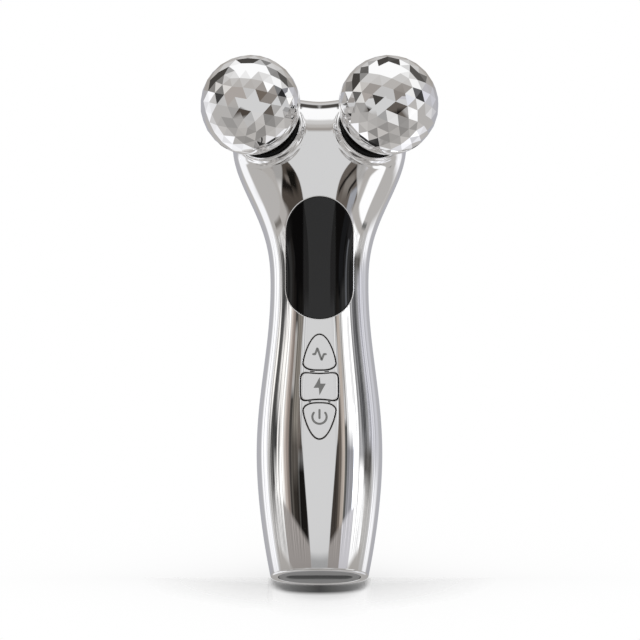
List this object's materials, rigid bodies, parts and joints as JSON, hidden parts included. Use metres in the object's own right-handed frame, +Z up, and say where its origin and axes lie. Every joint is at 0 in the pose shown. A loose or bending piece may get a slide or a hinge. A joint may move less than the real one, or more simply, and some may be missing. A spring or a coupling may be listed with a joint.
{
  "type": "facial toning device",
  "caption": "Hand-held facial toning wand with a chrome waisted handle, faceted ball rollers on short arms, a flush stadium display, push buttons and a charging recess in its foot",
  "frame": {"origin": "middle of the flat foot, at the mouth of the charging recess", "axes": "+Z up along the handle to the head, +X to the right in the view from the front, -Y the front with the display, the buttons and the rollers"},
  "size_m": [0.0736, 0.0594, 0.1591],
  "materials": {
    "plated_shell": "mirror-bright chrome plating on moulded plastic",
    "plated_roller": "mirror-bright plating on moulded plastic, flat facets",
    "plated_collar": "mirror-bright chrome plating",
    "plated_button": "bright plating, a little softer than the shell",
    "foot_plastic": "satin grey moulded plastic",
    "window": "polished, tinted black",
    "display": "satin, switched off",
    "seal_rubber": "matte moulded rubber",
    "black_plastic": "satin moulded plastic",
    "switch_plastic": "satin moulded plastic",
    "frame_plastic": "satin moulded plastic",
    "circuit_board": "solder-masked laminate",
    "cell_sleeve": "shrunk plastic sleeve",
    "socket_steel": "bright formed sheet",
    "bush_brass": "turned",
    "axle_steel": "ground",
    "spring_steel": "zinc plated",
    "lead_sleeve": "satin insulation"
  },
  "bodies": {
    "handle": {"front_shell": "plated_shell", "rear_shell": "plated_shell", "end_cap": "foot_plastic", "display_window": "window", "window_gasket": "seal_rubber", "display_module": "display", "mode_switch": "switch_plastic", "intensity_switch": "switch_plastic", "power_switch": "switch_plastic", "button_frame": "black_plastic", "main_board": "circuit_board", "inner_frame": "frame_plastic", "cell": "cell_sleeve", "charging_board": "circuit_board", "charging_socket": "socket_steel", "left_axle": "axle_steel", "right_axle": "axle_steel", "left_axle_clip": "spring_steel", "right_axle_clip": "spring_steel", "left_collar": "plated_collar", "right_collar": "plated_collar", "left_seal": "seal_rubber", "right_seal": "seal_rubber", "left_axle_block": "frame_plastic", "right_axle_block": "frame_plastic", "axle_nuts": "spring_steel", "frame_screws": "spring_steel", "board_screws": "spring_steel", "axle_leads": "lead_sleeve", "cell_leads": "lead_sleeve"},
    "left_ball": {"left_roller": "plated_roller", "left_roller_hub": "plated_roller", "left_front_bush": "bush_brass", "left_rear_bush": "bush_brass"},
    "right_ball": {"right_roller": "plated_roller", "right_roller_hub": "plated_roller", "right_front_bush": "bush_brass", "right_rear_bush": "bush_brass"},
    "mode_key": {"mode_button": "plated_button", "mode_plunger": "black_plastic"},
    "intensity_key": {"intensity_button": "plated_button", "intensity_plunger": "black_plastic"},
    "power_key": {"power_button": "plated_button", "power_plunger": "black_plastic"}
  },
  "joints": [
    {"name": "left_roller_spin", "type": "hinge", "parent": "handle", "child": "left_ball", "pos_m": [-0.0214, -0.028, 0.1436], "axis": [0.3971, 0.8517, -0.342], "continuous": true},
    {"name": "right_roller_spin", "type": "hinge", "parent": "handle", "child": "right_ball", "pos_m": [0.0214, -0.028, 0.1436], "axis": [-0.3971, 0.8517, -0.342], "continuous": true},
    {"name": "mode_press", "type": "slide", "parent": "handle", "child": "mode_key", "axis": [0, 1, 0], "range_m": [0, 0.00035], "stiffness_N_per_m": 600, "springref_m": -0.001},
    {"name": "intensity_press", "type": "slide", "parent": "handle", "child": "intensity_key", "axis": [0, 1, 0], "range_m": [0, 0.00035], "stiffness_N_per_m": 600, "springref_m": -0.001},
    {"name": "power_press", "type": "slide", "parent": "handle", "child": "power_key", "axis": [0, 1, 0], "range_m": [0, 0.00035], "stiffness_N_per_m": 600, "springref_m": -0.001}
  ]
}
